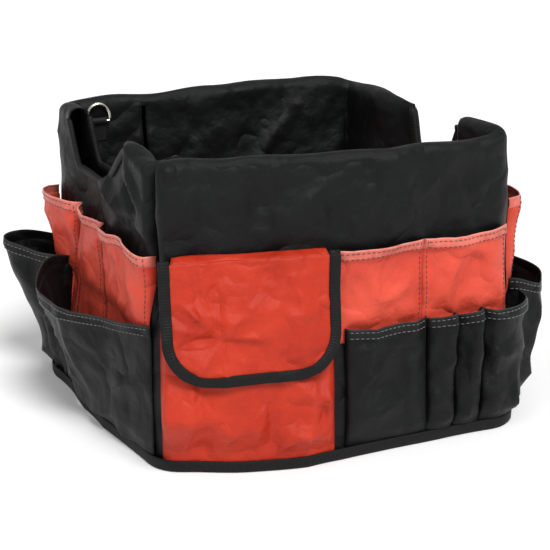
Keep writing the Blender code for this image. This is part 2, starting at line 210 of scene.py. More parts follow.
def rise(s):
    """How much the top edge goes up and down round the ring."""
    s = np.asarray(s, float)
    turn = s / GIRTH * 2 * np.pi
    wave = 0.0012 * np.sin(turn * 5 + 1.0) + 0.0008 * np.sin(turn * 11 + 0.3)
    wave += 0.0095 * around(s, on_left(-0.042), 0.022)
    wave -= 0.0035 * around(s, on_left(-0.080), 0.026)
    wave += 0.0075 * around(s, on_right(-0.078), 0.036)
    wave += 0.0045 * around(s, on_back(-0.020), 0.110)
    wave += 0.0030 * around(s, on_back(0.095), 0.050)
    wave -= 0.0030 * around(s, on_front(0.080), 0.040)
    return wave


def sway(s, z):
    """How far the standing cloth leans out or in, for every layer at that place."""
    p, _ = ring_at(s)
    z = np.broadcast_to(np.asarray(z, float), np.broadcast(s, z).shape)
    s = np.broadcast_to(np.asarray(s, float), z.shape)
    p = np.broadcast_to(p, z.shape + (2,)) if p.shape[:-1] != z.shape else p
    q = np.concatenate([p, (z * 0.7)[..., None]], axis=-1)
    slow = 0.0042 * field(q, 0.085, 3.1) + 0.0016 * field(q, 0.034, 7.7)
    slow *= 0.35 + 0.65 * smooth((z - 0.02) / 0.10)
    slow = slow + 0.0011 * ridges(q, 0.075, 21.0)
    high = smooth((z - 0.105) / 0.05)
    pinch = S_CREASE - 0.0075
    notch = -0.0170 * around(s, pinch, 0.0036) * high
    notch += 0.0036 * around(s, pinch + 0.0105, 0.007) * high
    notch += 0.0045 * around(s, S_CREASE - 0.024, 0.020) * smooth((z - 0.165) / 0.03)
    above_pockets = np.sin(np.pi * np.clip((z - 0.15) / 0.09, 0, 1))
    belly = 0.0035 * around(s, on_front(0.040), 0.050) * above_pockets
    belly += 0.0030 * around(s, on_front(-0.060), 0.045) * above_pockets
    sag = -0.0040 * around(s, on_left(0.055), 0.040) * smooth((z - 0.10) / 0.10)
    return slow + notch + belly + sag + flare(s, z)


def wrap(s, out, z):
    """Points (..., 3) at arc length s, distance out from the wall and height z."""
    s, out, z = np.broadcast_arrays(np.asarray(s, float), np.asarray(out, float), np.asarray(z, float))
    p, n = ring_at(s)
    d = out + sway(s, z)
    xy = p + n * d[..., None] + SHIFT
    up = z + rise(s) * np.clip(z / TOP, 0, 1.2) ** 2
    return np.concatenate([xy, up[..., None]], axis=-1)


# ---------------------------------------------------------------- meshes
def link(name, mesh, mat, body="bag"):
    made = bpy.data.objects.new(name, mesh)
    bpy.context.scene.collection.objects.link(made)
    if mat is not None:
        mesh.materials.append(mat)
    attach(made, body)
    return made


def grid_normals(p):
    du = np.gradient(p, axis=1)
    dv = np.gradient(p, axis=0)
    n = np.cross(du, dv)
    return n / np.maximum(np.linalg.norm(n, axis=2), 1e-12)[..., None]


def cloth(name, p, thick, mat, body="bag", keep=None, wear=None, ring=False):
    """A sheet from a grid of points (rows up, columns along); its face is where du x dv points."""
    rows, cols = p.shape[:2]
    if ring:
        n = grid_normals(np.concatenate([p[:, -2:-1], p, p[:, 1:2]], axis=1))[:, 1:-1]
    else:
        n = grid_normals(p)
    back = p - n * thick
    du = np.zeros((rows, cols))
    du[:, 1:] = np.linalg.norm(np.diff(p, axis=1), axis=2).cumsum(axis=1)
    dv = np.zeros((rows, cols))
    dv[1:] = np.linalg.norm(np.diff(p, axis=0), axis=2).cumsum(axis=0)
    keep = np.ones((rows - 1, cols - 1), bool) if keep is None else keep
    area = 0.0
    faces = []
    total = rows * cols
    weld = np.arange(2 * total)
    if ring:
        weld[cols - 1 :: cols] = weld[0::cols]
    edges = {}
    for i in range(rows - 1):
        for j in range(cols - 1):
            if not keep[i, j]:
                continue
            a, b, c, d = i * cols + j, i * cols + j + 1, (i + 1) * cols + j + 1, (i + 1) * cols + j
            faces.append((a, b, c, d))
            faces.append((a + total, d + total, c + total, b + total))
            area += 0.5 * np.linalg.norm(np.cross(p[i + 1, j + 1] - p[i, j], p[i + 1, j] - p[i, j + 1]))
            for e in ((a, b), (b, c), (c, d), (d, a)):
                key = tuple(sorted(int(weld[x]) for x in e))
                edges[key] = None if key in edges else e
    for e in edges.values():
        if e is not None:
            a, b = e
            faces.append((b, a, a + total, b + total))
    verts = np.vstack([p.reshape(-1, 3), back.reshape(-1, 3)])
    flat_index = [k % total for f in faces for k in f]
    faces = [tuple(int(weld[k]) for k in f) for f in faces]
    used = sorted({k for f in faces for k in f})
    index = {k: i for i, k in enumerate(used)}
    mesh = bpy.data.meshes.new(name)
    mesh.from_pydata([tuple(verts[k]) for k in used], [], [tuple(index[k] for k in f) for f in faces])
    mesh.polygons.foreach_set("use_smooth", [True] * len(mesh.polygons))
    uv = mesh.uv_layers.new(name="cloth")
    u, v = du.ravel(), dv.ravel()
    source = np.array(flat_index)
    uv.data.foreach_set("uv", np.stack([u[source], v[source]], axis=1).ravel())
    worn = mesh.attributes.new("wear", "FLOAT", "POINT")
    level = np.zeros((rows, cols)) if wear is None else np.broadcast_to(wear, (rows, cols))
    worn.data.foreach_set("value", level.ravel()[np.array(used) % total])
    made = link(name, mesh, mat, body)
    width, length = float(du[:, -1].max()), float(dv[-1].max())
    area = min(float(area), width * length)
    return made


TAPE_HALF = ((-0.5, -0.5), (-0.5, 0.2), (-0.42, 0.5))  # shares of a tape's width and thickness


def tape(name, path, side, normal, width, thick, mat, body="bag", closed=False):
    """A flat ribbon with rounded edges along path, width across side and thick along normal."""
    path, side, normal = (np.asarray(x, float) for x in (path, side, normal))
    shape = [*TAPE_HALF, (0.0, 0.58), *((-x, y) for x, y in reversed(TAPE_HALF))]
    verts, faces = [], []
    m = len(shape)
    for q, a, b in zip(path, side, normal):
        for x, y in shape:
            verts.append(tuple(q + a * x * width + b * y * thick))
    count = len(path)
    for i in range(count if closed else count - 1):
        j = (i + 1) % count
        for k in range(m):
            faces.append((i * m + k, i * m + (k + 1) % m, j * m + (k + 1) % m, j * m + k))
    if not closed:
        faces.append(tuple(range(m - 1, -1, -1)))
        faces.append(tuple((count - 1) * m + k for k in range(m)))
    mesh = bpy.data.meshes.new(name)
    mesh.from_pydata(verts, [], faces)
    mesh.polygons.foreach_set("use_smooth", [True] * len(mesh.polygons))
    uv = mesh.uv_layers.new(name="cloth")
    run = np.concatenate([[0], np.cumsum(np.linalg.norm(np.diff(path, axis=0), axis=1))])
    across = [x * width for x, _ in shape]
    data = np.array([(run[v // m], across[v % m]) for v in (l.vertex_index for l in mesh.loops)])
    uv.data.foreach_set("uv", data.ravel())
    mesh.attributes.new("wear", "FLOAT", "POINT")
    return link(name, mesh, mat, body)


STITCH_PITCH, STITCH_LENGTH = 0.0040, 0.0028
STITCH_SIDES = 6
# Place along the stitch, share of its radius, share of its lift.
STITCH_RINGS = ((0.0, 0.35, -0.4), (0.2, 1.0, 0.15), (0.8, 1.0, 0.15), (1.0, 0.35, -0.4))


def stitches(name, lines, mat, radius):
    """Thread along lines of (points, normals): one small rounded stitch after another."""
    verts, faces = [], []
    for pts, nrm in lines:
        pts, nrm = np.asarray(pts, float), np.asarray(nrm, float)
        run = np.concatenate([[0], np.cumsum(np.linalg.norm(np.diff(pts, axis=0), axis=1))])

        def at(place, values):
            return np.array([np.interp(place, run, values[:, a]) for a in range(3)])

        for k in range(int(run[-1] / STITCH_PITCH)):
            mid = (k + 0.5) * STITCH_PITCH
            ends = [at(mid + d * STITCH_LENGTH / 2, pts) for d in (-1, 1)]
            n = at(mid, nrm)
            n /= np.linalg.norm(n)
            t = ends[1] - ends[0]
            if np.linalg.norm(t) < 1e-6:
                continue
            t /= np.linalg.norm(t)
            b = np.cross(t, n)
            base = len(verts)
            for share, r, lift in STITCH_RINGS:
                c = ends[0] + (ends[1] - ends[0]) * share + n * radius * lift
                for a in range(STITCH_SIDES):
                    w = a * math.tau / STITCH_SIDES
                    verts.append(tuple(c + radius * r * (b * math.cos(w) + n * math.sin(w))))
            for i in range(len(STITCH_RINGS) - 1):
                low = base + i * STITCH_SIDES
                high = low + STITCH_SIDES
                for a in range(STITCH_SIDES):
                    q = (a + 1) % STITCH_SIDES
                    faces.append((low + a, low + q, high + q, high + a))
            faces.append(tuple(base + STITCH_SIDES - 1 - a for a in range(STITCH_SIDES)))
            faces.append(tuple(high + a for a in range(STITCH_SIDES)))
    mesh = bpy.data.meshes.new(name)
    mesh.from_pydata(verts, [], faces)
    mesh.polygons.foreach_set("use_smooth", [True] * len(mesh.polygons))
    return link(name, mesh, mat)


# ---------------------------------------------------------------- materials
def new_material(name):
    mat = bpy.data.materials.new(name)
    mat.use_nodes = True
    return mat, mat.node_tree, mat.node_tree.nodes["Principled BSDF"]


def fabric(
    name, colour, dark, rough, *,
    pitch=0.0008, weave=0.25, wear=None, crinkle=0.35, ribs=False, sheen=0.06, gloss=0.3,
):
    """Woven cloth: the weave's own bumps, fine crinkles, uneven colour, painted shade in the weave's
    valleys and a paler worn edge.
    """
    mat, tree, shader = new_material(name)
    new, wire = tree.nodes.new, tree.links.new
    shader.inputs["Sheen Weight"].default_value = sheen
    shader.inputs["Sheen Roughness"].default_value = 0.45
    shader.inputs["Specular IOR Level"].default_value = gloss
    uv = new("ShaderNodeUVMap")
    uv.uv_map = "cloth"
    split = new("ShaderNodeSeparateXYZ")
    wire(uv.outputs["UV"], split.inputs[0])

    def maths(op, a, b=None):
        node = new("ShaderNodeMath")
        node.operation = op
        for slot, value in zip(node.inputs, (a, b)):
            if value is None:
                continue
            if isinstance(value, (int, float)):
                slot.default_value = value
            else:
                wire(value, slot)
        return node.outputs[0]

    k = 2 * math.pi / pitch
    along = maths("SINE", maths("MULTIPLY", split.outputs["X"], k * (0.5 if ribs else 1)))
    over = maths("SINE", maths("MULTIPLY", split.outputs["Y"], k))
    height = along if ribs else maths("MULTIPLY", along, over)
    coords = new("ShaderNodeTexCoord")

    def cloud(scale, detail):
        node = new("ShaderNodeTexNoise")
        node.inputs["Scale"].default_value = scale
        node.inputs["Detail"].default_value = detail
        wire(coords.outputs["Object"], node.inputs["Vector"])
        return node.outputs["Fac"]

    broad = cloud(26, 3)
    fine = cloud(190, 4)
    grain = cloud(900, 2)

    def ramp(value, low, high, a, b):
        node = new("ShaderNodeMapRange")
        node.inputs["From Min"].default_value = low
        node.inputs["From Max"].default_value = high
        node.inputs["To Min"].default_value = a
        node.inputs["To Max"].default_value = b
        wire(value, node.inputs["Value"])
        return node.outputs["Result"]

    def mix(factor, a, b):
        node = new("ShaderNodeMix")
        node.data_type = "RGBA"
        if isinstance(factor, (int, float)):
            node.inputs[0].default_value = factor
        else:
            wire(factor, node.inputs[0])
        for slot, value in ((node.inputs[6], a), (node.inputs[7], b)):
            if isinstance(value, tuple):
                slot.default_value = (*value, 1)
            else:
                wire(value, slot)
        return node.outputs[2]

    tone = mix(ramp(broad, 0.35, 0.65, 0.0, 1.0), dark, colour)
    # Painted shade: the weave's valleys are darkened towards a deeper copy of the dark colour.
    tone = mix(ramp(height, -1, 1, 0.22, 0.0), tone, tuple(c * 0.55 for c in dark))
    tone = mix(ramp(grain, 0.55, 0.72, 0.0, 0.16), tone, tuple(min(1, c * 1.5 + 0.02) for c in colour))
    if wear is not None:
        attribute = new("ShaderNodeAttribute")
        attribute.attribute_name = "wear"
        worn = maths("MULTIPLY", attribute.outputs["Fac"], ramp(fine, 0.25, 0.6, 0.55, 1.0))
        tone = mix(worn, tone, wear)
    wire(tone, shader.inputs["Base Color"])
    wire(ramp(broad, 0.3, 0.7, rough - 0.07, rough + 0.07), shader.inputs["Roughness"])

    def sharp(value):
        return maths("ABSOLUTE", maths("SUBTRACT", value, 0.5))

    below = None
    for relief, strength, distance in (
        (sharp(cloud(21, 2)), crinkle, 0.022),
        (sharp(cloud(46, 3)), crinkle, 0.0034),
        (fine, crinkle * 0.7, 0.0007),
        (height, weave, 0.00022),
    ):
        bump = new("ShaderNodeBump")
        bump.inputs["Strength"].default_value = strength
        bump.inputs["Distance"].default_value = distance
        wire(relief, bump.inputs["Height"])
        if below is not None:
            wire(below, bump.inputs["Normal"])
        below = bump.outputs[0]
    wire(below, shader.inputs["Normal"])
    return mat


def thread(name, colour):
    mat, tree, shader = new_material(name)
    shader.inputs["Roughness"].default_value = 0.6
    shader.inputs["Sheen Weight"].default_value = 0.3
    speck = tree.nodes.new("ShaderNodeTexNoise")
    speck.inputs["Scale"].default_value = 420
    coords = tree.nodes.new("ShaderNodeTexCoord")
    tree.links.new(coords.outputs["Object"], speck.inputs["Vector"])
    mix = tree.nodes.new("ShaderNodeMix")
    mix.data_type = "RGBA"
    mix.inputs[6].default_value = (*[c * 0.75 for c in colour], 1)
    mix.inputs[7].default_value = (*colour, 1)
    tree.links.new(speck.outputs["Fac"], mix.inputs[0])
    tree.links.new(mix.outputs[2], shader.inputs["Base Color"])
    return mat


def metal(name):
    mat, tree, shader = new_material(name)
    shader.inputs["Metallic"].default_value = 1.0
    coords = tree.nodes.new("ShaderNodeTexCoord")
    cloud = tree.nodes.new("ShaderNodeTexNoise")
    cloud.inputs["Scale"].default_value = 240
    cloud.inputs["Detail"].default_value = 4
    tree.links.new(coords.outputs["Object"], cloud.inputs["Vector"])
    rough = tree.nodes.new("ShaderNodeMapRange")
    rough.inputs["To Min"].default_value = 0.14
    rough.inputs["To Max"].default_value = 0.34
    tree.links.new(cloud.outputs["Fac"], rough.inputs["Value"])
    tree.links.new(rough.outputs["Result"], shader.inputs["Roughness"])
    mix = tree.nodes.new("ShaderNodeMix")
    mix.data_type = "RGBA"
    mix.inputs[6].default_value = (0.62, 0.58, 0.48, 1)
    mix.inputs[7].default_value = (0.86, 0.83, 0.74, 1)
    tree.links.new(cloud.outputs["Fac"], mix.inputs[0])
    tree.links.new(mix.outputs[2], shader.inputs["Base Color"])
    return mat


BLACK = fabric(
    "black_polyester_weave",
    (0.0058, 0.0063, 0.0068),
    (0.0034, 0.0037, 0.0041),
    0.48,
    wear=(0.055, 0.057, 0.058),
    crinkle=0.75,
    sheen=0.008,
    gloss=0.17,
)
RED = fabric(
    "red_polyester_weave",
    (0.70, 0.078, 0.042),
    (0.60, 0.055, 0.029),
    0.44,
    wear=(0.74, 0.30, 0.25),
    crinkle=0.75,
    sheen=0.02,
    gloss=0.26,
)
# A darker copy of the red weave, the same cloth with painted shade: used for the lid, its hinge seam and
# the pouch under the lid.
RED_PAINTED_SHADE = fabric(
    "red_polyester_weave_painted_shade",
    (0.52, 0.036, 0.013),
    (0.42, 0.025, 0.009),
    0.42,
    wear=(0.60, 0.20, 0.16),
    crinkle=0.85,
    sheen=0.005,
    gloss=0.20,
)
BINDING = fabric(
    "black_ribbed_binding",
    (0.0062, 0.0064, 0.0064),
    (0.004, 0.004, 0.004),
    0.62,
    sheen=0.015,
    gloss=0.2,
    pitch=0.0011,
    weave=0.5,
    ribs=True,
    crinkle=0.2,
)
WEBBING = fabric(
    "black_webbing_weave",
    (0.008, 0.008, 0.0085),
    (0.005, 0.005, 0.005),
    0.7,
    sheen=0.02,
    pitch=0.0014,
    weave=0.8,
    crinkle=0.1,
)
PILE = fabric(
    "hook_and_loop_pile",
    (0.014, 0.014, 0.014),
    (0.008, 0.008, 0.008),
    0.9,
    pitch=0.0007,
    weave=0.8,
    crinkle=0.9,
)
THREAD_GREY = thread("grey_thread", (0.16, 0.16, 0.165))
THREAD_DARK = thread("dark_thread", (0.05, 0.012, 0.010))
NICKEL = metal("nickel_plated_wire")


# ---------------------------------------------------------------- the shell
# Each handle slot: y where its edge leaves the top, meets the slot's floor, leaves it, and is back up.
LEFT_SLOT = (-0.034, 0.034, 0.080, 0.094)
RIGHT_SLOT = (-0.045, -0.024, 0.022, 0.033)
FLOOR = 0.193
SKIRT_LOW = 0.092
WALL_LOW = 0.0012
FOLDS_LOW = 0.152
WALL_ROWS, ARCH_STEPS, SKIRT_ROWS = 62, 12, 36
# The skirt's slits, one at each side, between its front and back halves.
SKIRT_CUTS = ((0.058, on_left), (-0.001, on_right))


def slot_depth(s):
    """How far the cloth's top edge is below the spring of the rim's arch."""
    total = np.zeros_like(np.asarray(s, float))
    for slot, locate in ((LEFT_SLOT, on_left), (RIGHT_SLOT, on_right)):
        a, b, c, d = (locate(y) for y in slot)
        if d < a:
            a, b, c, d = d, c, b, a
        ds = np.mod(s - a + GIRTH / 4, GIRTH) - GIRTH / 4
        up = np.clip(ds / (b - a), 0, 1)
        down = np.clip((d - a - ds) / (d - c), 0, 1)
        total = np.maximum(total, np.minimum(up, down) * ((ds >= 0) & (ds <= d - a)))
    soft = np.clip(total, 0, 1)
    return (SPRING - FLOOR) * (0.55 * smooth(soft) + 0.45 * np.sin(soft * np.pi / 2) ** 1.15)


def gap(s):
    """Share of the channel left between wall and skirt: three slot edges are sewn together."""
    s = np.asarray(s, float)
    g = np.ones_like(s)
    for edge, way, least, reach in (
        (on_left(LEFT_SLOT[0]), 1, 0.30, 0.030),
        (on_right(RIGHT_SLOT[0]), -1, 0.42, 0.020),
        (on_right(RIGHT_SLOT[3]), 1, 0.14, 0.045),
    ):
        d = arc_from(s, edge) * way
        g = np.minimum(g, least + (1 - least) * np.where(d >= 0, smooth(d / reach), smooth(-d / 0.085)))
    first, last = on_right(RIGHT_SLOT[0]), on_right(RIGHT_SLOT[3])
    return np.where(np.mod(s - first, GIRTH) < last - first, 0.14, g)


def wall_top(s):
    return SPRING - slot_depth(s)


def even(start, end, step, extra=()):
    end = ahead(start, end)
    count = max(2, int(round((end - start) / step)))
    found = list(np.linspace(start, end, count + 1))
    for e in extra:
        e = ahead(start, e)
        if start < e < end:
            i = int(np.argmin([abs(f - e) for f in found]))
            if 0 < i < len(found) - 1:
                found[i] = e
    return np.array(found)


# Folds of the outer wall: two ends (place along the ring, z), width, depth and sharpness.
WALL_FOLDS = (
    (on_left(0.036), 0.205, on_left(-0.030), 0.182, 0.0065, 0.0042, 1.3),
    (on_left(-0.030), 0.182, on_left(-0.080), 0.182, 0.0055, 0.0030, 1.3),
    (on_left(-0.030), 0.205, on_left(-0.062), 0.172, 0.0060, -0.0034, 1.5),
    (on_left(-0.040), 0.236, on_left(-0.070), 0.196, 0.0070, 0.0030, 1.5),
    (on_front(-0.118), 0.228, on_front(-0.100), 0.172, 0.0060, 0.0022, 1.4),
    (on_front(-0.072), 0.232, on_front(-0.050), 0.178, 0.0080, -0.0016, 1.6),
    (on_front(-0.012), 0.222, on_front(0.006), 0.168, 0.0060, -0.0018, 1.5),
    (on_front(0.050), 0.225, on_front(0.064), 0.170, 0.0060, 0.0016, 1.5),
    (on_front(0.105), 0.222, on_front(0.118), 0.168, 0.0060, -0.0022, 1.5),
)


def wall_detail(s, z):
    """How far the outer wall's folds stand out."""
    s = arc_from(s, S_CREASE)
    d = np.zeros(np.broadcast(s, z).shape)
    for s0, z0, s1, z1, width, depth, sharp in WALL_FOLDS:
        first, last = (float(arc_from(place, S_CREASE)) for place in (s0, s1))
        d += crease(s, z, first, z0, last, z1, width, depth, sharp)
    q = np.stack(np.broadcast_arrays(s, z, 0 * s), axis=-1)
    return 1.9 * d + 0.0014 * ridges(q, 0.050, 14.0)


def build_shell():
    slots = [on_left(y) for y in LEFT_SLOT] + [on_right(y) for y in RIGHT_SLOT]
    start = S_CREASE - 0.30
    s = even(start, start + GIRTH, 0.0036, slots)
    pinched = np.arange(S_CREASE - 0.026, S_CREASE + 0.014, 0.0012)
    s = np.concatenate([s[s < S_CREASE - 0.026], pinched, s[s > S_CREASE + 0.0145]])
    top = wall_top(s)
    outer = np.linspace(0, 1, WALL_ROWS)
    z_out = WALL_LOW + outer[:, None] * (top[None, :] - WALL_LOW)
    S = np.broadcast_to(s, z_out.shape)
    p_out = wrap(S, wall_detail(S, z_out) * smooth((z_out - FOLDS_LOW) / 0.02), z_out)

    angle = np.linspace(0, np.pi, ARCH_STEPS + 1)[1:-1]
    base = wrap(s, wall_detail(s, top), top)
    inner_top = wrap(s, -2 * ARCH * gap(s), top)
    middle = (base + inner_top) / 2
    reach = (base - inner_top) / 2
    lumps = 1 + 0.10 * np.sin(s / GIRTH * 2 * np.pi * 15)
    arch = []
    for a in angle:
        ring = middle + reach * math.cos(a)
        ring[:, 2] += ARCH * math.sin(a) ** 0.85 * (0.16 + 0.84 * gap(s) ** 0.7) * lumps
        arch.append(ring)

    inner = np.linspace(0, 1, SKIRT_ROWS)
    z_in = top[None, :] + inner[:, None] * (SKIRT_LOW - top[None, :])
    S = np.broadcast_to(s, z_in.shape)
    p_in = wrap(S, -2 * ARCH * gap(S) + inner_folds(S, z_in), z_in)
    p = np.concatenate([p_out, np.array(arch), p_in], axis=0)
    keep = np.ones((p.shape[0] - 1, p.shape[1] - 1), bool)
    mid = (s[:-1] + s[1:]) / 2
    open_here = slot_depth(mid) > 1e-5
    skirt = WALL_ROWS + ARCH_STEPS - 1
    keep[WALL_ROWS - 1 : skirt, :] = ~open_here[None, :]
    for y, locate in SKIRT_CUTS:
        e = ahead(start, locate(y))
        j = int(np.argmin(np.abs(mid - e)))
        keep[skirt:, j] = False
    shell = cloth("bag_shell", p, 0.0014, BLACK, keep=keep, ring=True)
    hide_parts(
        "outer_wall_front",
        "outer_wall_left",
        "outer_wall_back",
        "outer_wall_right",
        "rim_fold_front",
        "rim_fold_back",
        "inner_skirt_front",
        "inner_skirt_back",
    )


def inner_folds(s, z):
    """How far the inner skirt's folds stand out, with x the place along the back wall."""
    d = np.zeros(np.broadcast(s, z).shape)
    x = 0.120 - np.mod(s - on_back(0.137) + GIRTH / 4, GIRTH) + GIRTH / 4
    depth = smooth((0.226 - z) / 0.03)
    back = (x > -0.16) & (x < 0.16)
    folds = crease(x, z, -0.030, 0.118, 0.062, 0.232, 0.0075, -0.0050, 1.4)
    folds += crease(x, z, -0.085, 0.150, -0.030, 0.215, 0.0085, 0.0030, 1.5)
    folds += crease(x, z, 0.060, 0.110, 0.105, 0.190, 0.0085, -0.0028, 1.5)
    folds += crease(x, z, -0.110, 0.226, -0.060, 0.150, 0.0080, -0.0026, 1.6)
    d += folds * back
    q = np.stack(np.broadcast_arrays(x, z, x * 0), axis=-1)
    d += 0.0040 * field(q, 0.055, 11.0) * depth
    d -= 0.0040 * smooth((0.20 - z) / 0.10)
    return d * depth


# ---------------------------------------------------------------- pockets
def hem_rows(low, high, hem, step):
    rows = list(np.linspace(low, high - hem, max(3, int((high - hem - low) / step))))
    rows += [high - hem + 0.0006, high - hem + 0.0011]
    rows += list(np.linspace(high - hem + 0.003, high - 0.0012, 4)) + [high - 0.0004, high]
    return np.array(rows)


HEM = 0.0085
POCKET_CLOTH = 0.0009
CLOSEST = 0.0012  # how near to the wall's plane a pocket's face may come


def pocket(name, s0, s1, low, high, shape, mat, wear=0.9, dip=None, along=0.0030, band=0.0):
    """A pocket's cloth. shape(u, v) is its distance out; dip(u) changes the height of its mouth."""
    s1 = ahead(s0, s1)
    s = np.linspace(s0, s1, max(10, int((s1 - s0) / along)) + 1)
    rows = hem_rows(low, high, HEM, 0.0036)
    u = (s - s0) / (s1 - s0)
    Z = np.repeat(rows[:, None], len(s), axis=1)
    V = (Z - low) / (high - low)
    U = np.broadcast_to(u, Z.shape)
    S = np.broadcast_to(s, Z.shape)
    in_hem = Z - (high - HEM)
    folded = smooth(in_hem / 0.0010) * 0.0007
    top_round = -0.0006 * smooth((Z - (high - 0.0010)) / 0.0010)
    q = np.stack([S, Z, 0 * Z], axis=-1)
    pinned = np.minimum(1, 8 * U * (1 - U)) * smooth(V / 0.2)
    if mat is RED:
        pinned = pinned * smooth((Z - 0.098) / 0.014)
    out = shape(U, V) + folded + top_round
    out = out + (0.0014 * field(q, 0.017, 4.0) + 0.0018 * ridges(q, 0.034, 8.0) + 0.0012) * pinned
    out = np.maximum(out, CLOSEST + folded)
    lift = (dip(u)[None, :] if dip is not None else 0.0) * V**1.5
    p = wrap(S, out, Z)
    p[..., 2] += lift
    edge = np.clip((Z - (high - 0.0016)) / 0.0012, 0, 1) * wear
    edge = np.maximum(edge, band * smooth(in_hem / 0.0012))
    made = cloth(name, p, POCKET_CLOTH, mat, wear=edge)
    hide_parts(name)
    n = grid_normals(p)
    return made, p, n, hem_lines(p, n, rows, high, (0.0024, HEM - 0.0012))


def hem_lines(p, n, rows, high, drops):
    """The hem's lines of stitching, each one drop below the mouth."""
    lines = []
    for drop in drops:
        i = int(np.argmin(np.abs(rows - (high - drop))))
        lines.append((p[i, 1:-1] + n[i, 1:-1] * 0.0001, n[i, 1:-1]))
    return lines


def bow(u, power=0.55):
    return (4 * u * (1 - u)) ** power


def red_pocket(name, s0, s1, depth, low=0.060, folds=(), lean=0.0, high=0.165, power=0.55, fall=1.1):
    def shape(u, v):
        z = low + v * (high - low)
        opened = np.clip((z - 0.098) / (high - 0.098), 0, 1)
        fall_off = 0.75 * opened**fall + 0.25 * opened**0.5
        d = 0.0006 + 0.0010 * np.clip(v * 3, 0, 1) + depth * bow(u, power) * fall_off
        d = d * (1 + lean * (u - 0.5)) * smooth((z - 0.096) / 0.012) + 0.0006
        free = smooth((z - 0.100) / 0.015)
        for u0, v0, u1, v1, width, deep in folds:
            d = d + crease(u, v * 0.8, u0, v0 * 0.8, u1, v1 * 0.8, width, deep, 1.5) * free
        return d

    made, p, n, lines = pocket(name, s0, s1, low, high, shape, RED, band=0.42)
    for column in (1, -2):
        lines.append((p[:, column] + n[:, column] * 0.0001, n[:, column]))
    return lines


BLACK_LOW, BLACK_HIGH = 0.0055, 0.104


def black_pocket(name, s0, s1, depth, folds=(), power=0.5, dip=None, lean=0.0):
    def shape(u, v):
        grow = 0.45 + 0.55 * v**0.8
        tuck = smooth(v / 0.16)
        full = depth * bow(u, power) * grow * (0.25 + 0.75 * tuck)
        d = 0.0028 * (0.35 + 0.65 * tuck) + full * (1 + lean * (u - 0.5))
        for u0, v0, u1, v1, width, deep in folds:
            d = d + crease(u, v * 1.3, u0, v0 * 1.3, u1, v1 * 1.3, width, deep, 1.5) * tuck
        return d

    made, _, _, lines = pocket(
        name, s0, s1, BLACK_LOW, BLACK_HIGH, shape, BLACK, wear=0.55, dip=dip, along=0.0022, band=0.10
    )
    return lines


def pleat(u):
    """A pleated pocket's mouth climbs to its far corner."""
    return np.interp(u, (0, 0.80, 1), (-0.0022, 0.0042, -0.0008))


def curve_through(points, count):
    """A smooth curve through points (n, k), with count samples evenly spaced along it."""
    points = np.asarray(points, float)
    ext = np.vstack([2 * points[0] - points[1], points, 2 * points[-1] - points[-2]])
    out = []
    for i in range(1, len(ext) - 2):
        a, b, c, d = ext[i - 1 : i + 3]
        for t in np.linspace(0, 1, 24, endpoint=False):
            square = 2 * a - 5 * b + 4 * c - d
            cube = 3 * b - a - 3 * c + d
            out.append(0.5 * (2 * b + (c - a) * t + square * t**2 + cube * t**3))
    out.append(ext[-2])
    out = np.array(out)
    run = np.concatenate([[0], np.cumsum(np.linalg.norm(np.diff(out[:, :2], axis=0), axis=1))])
    s = np.linspace(0, run[-1], count)
    return np.stack([np.interp(s, run, out[:, k]) for k in range(out.shape[1])], axis=1)


BELLOWS_HEM = 0.0090
BELLOWS_HIGH = 0.100


def bellows(name, mouth, foot, folds=(), power=1.15):
    """A pocket that gapes. mouth and foot are (x, y, z) points in the plan's coordinates, wall to wall."""
    count = 64
    top, low = curve_through(mouth, count), curve_through(foot, count)
    rows = hem_rows(0.0, BELLOWS_HIGH, BELLOWS_HEM, 0.0034) / BELLOWS_HIGH
    u = np.linspace(0, 1, count)
    P = np.zeros((len(rows), count, 3))
    for i, v in enumerate(rows):
        P[i, :, :2] = low[:, :2] + (top[:, :2] - low[:, :2]) * v**power
        P[i, :, 2] = low[:, 2] + (top[:, 2] - low[:, 2]) * v
    n = grid_normals(P)
    U = np.broadcast_to(u, P.shape[:2])
    V = np.broadcast_to(rows[:, None], P.shape[:2])
    d = 0.004 * bow(U, 0.8) * np.sin(np.pi * V) ** 0.8
    q = np.stack([U * 0.10, V * 0.10, U * 0 + 0.3], axis=-1)
    d = d + (0.0024 * field(q, 0.022, float(len(name))) + 0.0030 * ridges(q, 0.036, 5.0)) * bow(U, 0.6)
    for u0, v0, u1, v1, width, deep in folds:
        d = d + crease(U, V * 0.7, u0, v0 * 0.7, u1, v1 * 0.7, width, 1.4 * deep, 1.3)
    d = d + smooth((V * BELLOWS_HIGH - (BELLOWS_HIGH - BELLOWS_HEM)) / 0.0010) * 0.0007
    P = P + n * d[..., None]
    P[..., :2] += SHIFT
    edge = np.clip((V * BELLOWS_HIGH - 0.0984) / 0.0012, 0, 1) * 0.45
    made = cloth(name, P, 0.0010, BLACK, wear=edge)
    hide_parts(name)
    drops = (0.0024, BELLOWS_HEM - 0.0014)
    return hem_lines(P, grid_normals(P), rows * BELLOWS_HIGH, BELLOWS_HIGH, drops)


def wall_xy(s, out, z):
    p = wrap(np.array([s]), np.array([out]), np.array([z]))[0]
    return (p[0] - SHIFT[0], p[1] - SHIFT[1])


